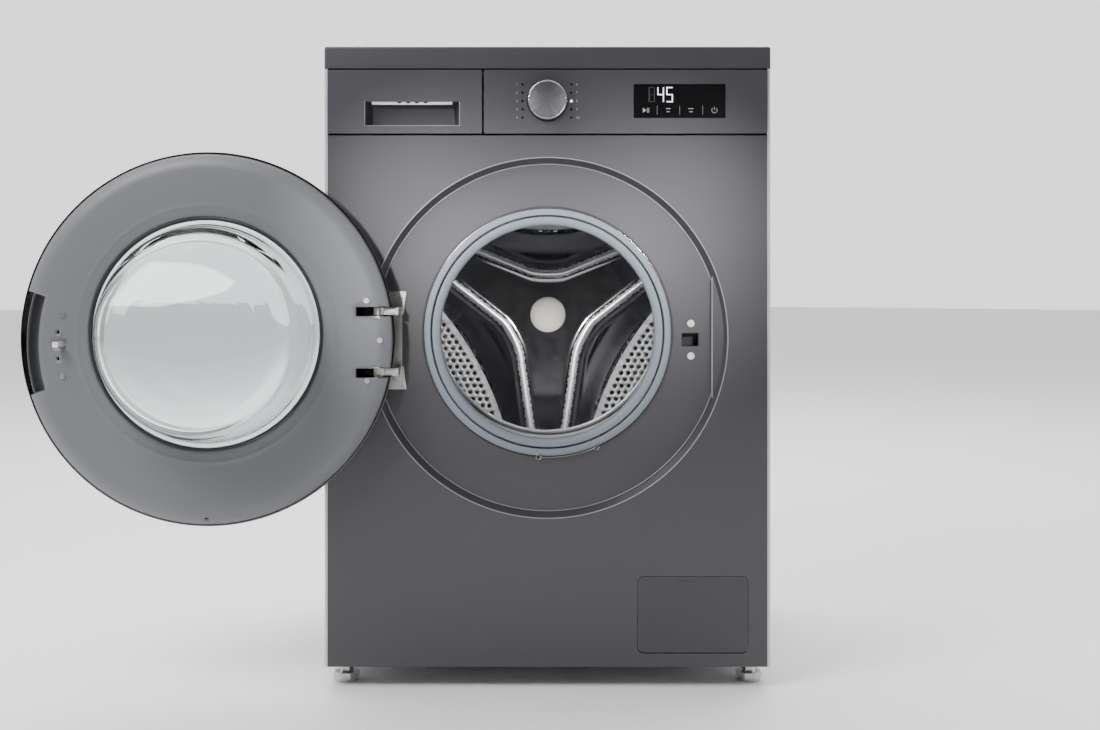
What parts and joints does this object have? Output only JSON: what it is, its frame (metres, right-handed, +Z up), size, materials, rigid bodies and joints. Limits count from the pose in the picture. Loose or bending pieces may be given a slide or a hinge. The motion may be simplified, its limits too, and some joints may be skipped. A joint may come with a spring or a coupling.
{
  "type": "front load washing machine",
  "caption": "Freestanding front load washing machine with a round glass door standing open, a detergent drawer, a program knob, a display and a sprung tub with a direct drive drum.",
  "frame": {"origin": "on the floor, midway between the four feet", "axes": "+Z up, +Y towards the back of the cabinet, +X to the right seen from the front"},
  "size_m": [0.9937, 0.693, 0.862],
  "materials": {
    "painted_steel_slate": "satin",
    "painted_steel_side": "satin",
    "plastic_slate": "satin",
    "galvanised_steel": "zinc coated",
    "zinc_steel": "zinc plated",
    "stainless": "polished",
    "chrome_trim": "bright",
    "knob_plastic": "spun metal look",
    "gloss_black": "gloss",
    "lamp_plastic": "clear dark",
    "board": "matt",
    "white_plastic": "satin",
    "black_plastic": "satin",
    "screw_cream": "satin",
    "grey_rubber": "matt",
    "black_rubber": "matt",
    "spring_steel": "oiled",
    "damper_body": "satin",
    "pump_plastic": "satin",
    "tub_plastic": "satin",
    "concrete": "cast",
    "stator": "laminated core and windings",
    "rotor_steel": "satin",
    "hub_plastic": "satin",
    "cast_aluminium": "cast",
    "cover_plastic": "gloss",
    "frame_plastic": "satin",
    "clear_glass": "clear"
  },
  "bodies": {
    "cabinet": {"front_panel": "painted_steel_slate", "left_side_panel": "painted_steel_side", "right_side_panel": "painted_steel_side", "control_panel": "plastic_slate", "top_plate": "plastic_slate", "base_frame": "galvanised_steel", "rear_panel": "galvanised_steel", "rear_cover": "galvanised_steel", "top_frame": "galvanised_steel", "cabinet_fasteners": "zinc_steel", "hinge_base": "zinc_steel", "gasket_clamp": "stainless", "display_window": "gloss_black", "indicator_lamps": "lamp_plastic", "control_board": "board", "dispenser_housing": "white_plastic", "main_board_case": "white_plastic", "inlet_valve": "white_plastic", "rear_fittings": "black_plastic", "door_lock": "black_plastic", "door_lock_screws": "screw_cream", "gasket": "grey_rubber", "inner_hoses": "black_rubber", "fill_hose": "black_rubber", "sump_hose": "black_rubber", "suspension_springs": "spring_steel", "damper_cylinders": "damper_body", "drain_pump": "pump_plastic"},
    "tub": {"tub_front_shell": "tub_plastic", "tub_rear_shell": "tub_plastic", "tub_fasteners": "zinc_steel", "front_counterweight": "concrete", "heater_element": "stainless", "damper_rods": "spring_steel", "drum_bearings": "spring_steel", "motor_stator": "stator"},
    "drum": {"drum_shell": "stainless", "drum_back": "stainless", "hub_cap": "hub_plastic", "drum_lifters": "stainless", "drum_spider": "cast_aluminium", "motor_rotor": "rotor_steel"},
    "door": {"door_outer_cover": "cover_plastic", "door_window": "gloss_black", "door_inner_frame": "frame_plastic", "door_glass": "clear_glass", "door_glass_seal": "black_rubber", "door_fittings": "zinc_steel"},
    "latch": {"latch_hook": "frame_plastic"},
    "drawer": {"drawer_front": "plastic_slate", "drawer_tray": "white_plastic"},
    "knob": {"selector_knob": "knob_plastic", "knob_trim": "chrome_trim"},
    "service_flap": {"service_door": "plastic_slate"},
    "filter": {"pump_filter": "pump_plastic"},
    "impeller": {"pump_impeller": "pump_plastic"},
    "front_left_foot": {"foot_front_left": "zinc_steel"},
    "front_right_foot": {"foot_front_right": "zinc_steel"},
    "rear_left_foot": {"foot_rear_left": "zinc_steel"},
    "rear_right_foot": {"foot_rear_right": "zinc_steel"}
  },
  "joints": [
    {"name": "tub_bounce", "type": "slide", "parent": "cabinet", "child": "tub", "axis": [0, 0, 1], "range_m": [-0.008, 0.008], "stiffness_N_per_m": 11000, "springref_m": 0.02431, "deforming": ["suspension_springs", "gasket", "fill_hose", "sump_hose"]},
    {"name": "drum_spin", "type": "hinge", "parent": "tub", "child": "drum", "pos_m": [0, 0, 0.492], "axis": [0, 1, 0], "continuous": true},
    {"name": "door_swing", "type": "hinge", "parent": "cabinet", "child": "door", "pos_m": [-0.2236, -0.287, 0.4705], "axis": [0, 0, 1], "range_deg": [0, 180]},
    {"name": "latch_click", "type": "hinge", "parent": "door", "child": "latch", "pos_m": [-0.6367, -0.287, 0.4645], "axis": [0, 0, 1], "range_deg": [0, 5], "stiffness_Nm_per_rad": 0.2},
    {"name": "drawer_slide", "type": "slide", "parent": "cabinet", "child": "drawer", "axis": [0, -1, 0], "range_m": [0, 0.2]},
    {"name": "knob_turn", "type": "hinge", "parent": "cabinet", "child": "knob", "pos_m": [0, -0.265, 0.7885], "axis": [0, 1, 0], "continuous": true},
    {"name": "flap_open", "type": "hinge", "parent": "cabinet", "child": "service_flap", "pos_m": [0.19525, -0.2625, 0.0593], "axis": [1, 0, 0], "range_deg": [0, 95]},
    {"name": "filter_turn", "type": "hinge", "parent": "cabinet", "child": "filter", "pos_m": [0.16, -0.237, 0.095], "axis": [0, 1, 0], "range_deg": [0, 90]},
    {"name": "impeller_spin", "type": "hinge", "parent": "cabinet", "child": "impeller", "pos_m": [0.16, -0.145, 0.095], "axis": [0, 1, 0], "continuous": true},
    {"name": "front_left_foot_screw", "type": "slide", "parent": "cabinet", "child": "front_left_foot", "axis": [0, 0, -1], "range_m": [0, 0.015]},
    {"name": "front_right_foot_screw", "type": "slide", "parent": "cabinet", "child": "front_right_foot", "axis": [0, 0, -1], "range_m": [0, 0.015]},
    {"name": "rear_left_foot_screw", "type": "slide", "parent": "cabinet", "child": "rear_left_foot", "axis": [0, 0, -1], "range_m": [0, 0.015]},
    {"name": "rear_right_foot_screw", "type": "slide", "parent": "cabinet", "child": "rear_right_foot", "axis": [0, 0, -1], "range_m": [0, 0.015]}
  ]
}
